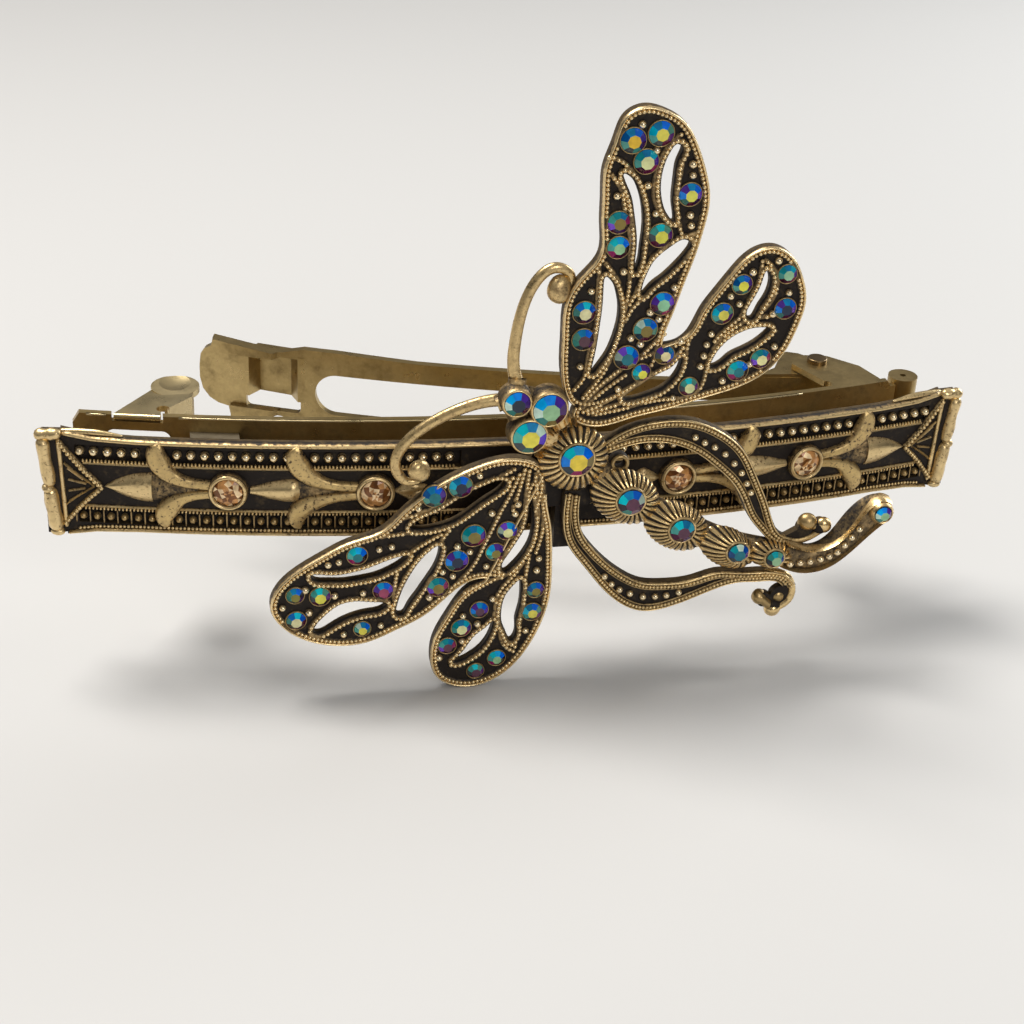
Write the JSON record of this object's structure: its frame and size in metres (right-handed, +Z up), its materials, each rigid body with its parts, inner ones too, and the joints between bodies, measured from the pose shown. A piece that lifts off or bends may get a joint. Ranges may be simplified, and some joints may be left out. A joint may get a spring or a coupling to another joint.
{
  "type": "barrette",
  "caption": "Bowed hair clip with a hinged clamp arm and sprung catch, filigree front plate and a stone-set dragonfly ornament.",
  "frame": {"origin": "middle of the hair channel of the closed clip, at mid length and mid height of the bar", "axes": "+X along the clip to the hinge end (right as seen from the front), +Z up as worn, decorated front faces -Y, the hair and head side is +Y"},
  "size_m": [0.0874, 0.0336, 0.0566],
  "materials": {
    "stamped_brass": "aged, satin",
    "antique_cast_brass": "antique, dark recesses and rubbed highlights",
    "solder": "dull",
    "champagne_glass": "faceted, foil-backed",
    "aurora_glass": "faceted, iridescent coating, foil-backed"
  },
  "bodies": {
    "clip_frame": {"base_strip": "stamped_brass", "hinge_pin": "stamped_brass", "front_plate": "antique_cast_brass", "solder_joints": "solder", "mount_bracket": "antique_cast_brass", "dragonfly_body": "antique_cast_brass", "upper_wings": "antique_cast_brass", "lower_wings": "antique_cast_brass", "upper_antenna": "antique_cast_brass", "lower_antenna": "antique_cast_brass", "right_ribbon": "antique_cast_brass", "left_ribbon": "antique_cast_brass", "champagne_stones": "champagne_glass", "eye_stones": "aurora_glass", "head_stone": "aurora_glass", "body_stones": "aurora_glass", "tail_stone": "aurora_glass", "upper_forewing_stones": "aurora_glass", "upper_hindwing_stones": "aurora_glass", "lower_forewing_stones": "aurora_glass", "lower_hindwing_stones": "aurora_glass"},
    "arm": {"clamp_arm": "stamped_brass"},
    "upper_catch": {"upper_catch_ear": "stamped_brass"},
    "lower_catch": {"lower_catch_ear": "stamped_brass"}
  },
  "joints": [
    {"name": "arm_hinge", "type": "hinge", "parent": "clip_frame", "child": "arm", "pos_m": [0.0319, 0.0063, 0], "axis": [0, 0, -1], "range_deg": [-15, 75]},
    {"name": "upper_catch_flex", "type": "hinge", "parent": "clip_frame", "child": "upper_catch", "pos_m": [-0.0352, 0.0011, 0.005], "axis": [0.9787, -0.2052, 0], "range_deg": [0, 8], "stiffness_Nm_per_rad": 0.02},
    {"name": "lower_catch_flex", "type": "hinge", "parent": "clip_frame", "child": "lower_catch", "pos_m": [-0.0352, 0.0011, -0.005], "axis": [-0.9787, 0.2052, 0], "range_deg": [0, 8], "stiffness_Nm_per_rad": 0.02}
  ]
}
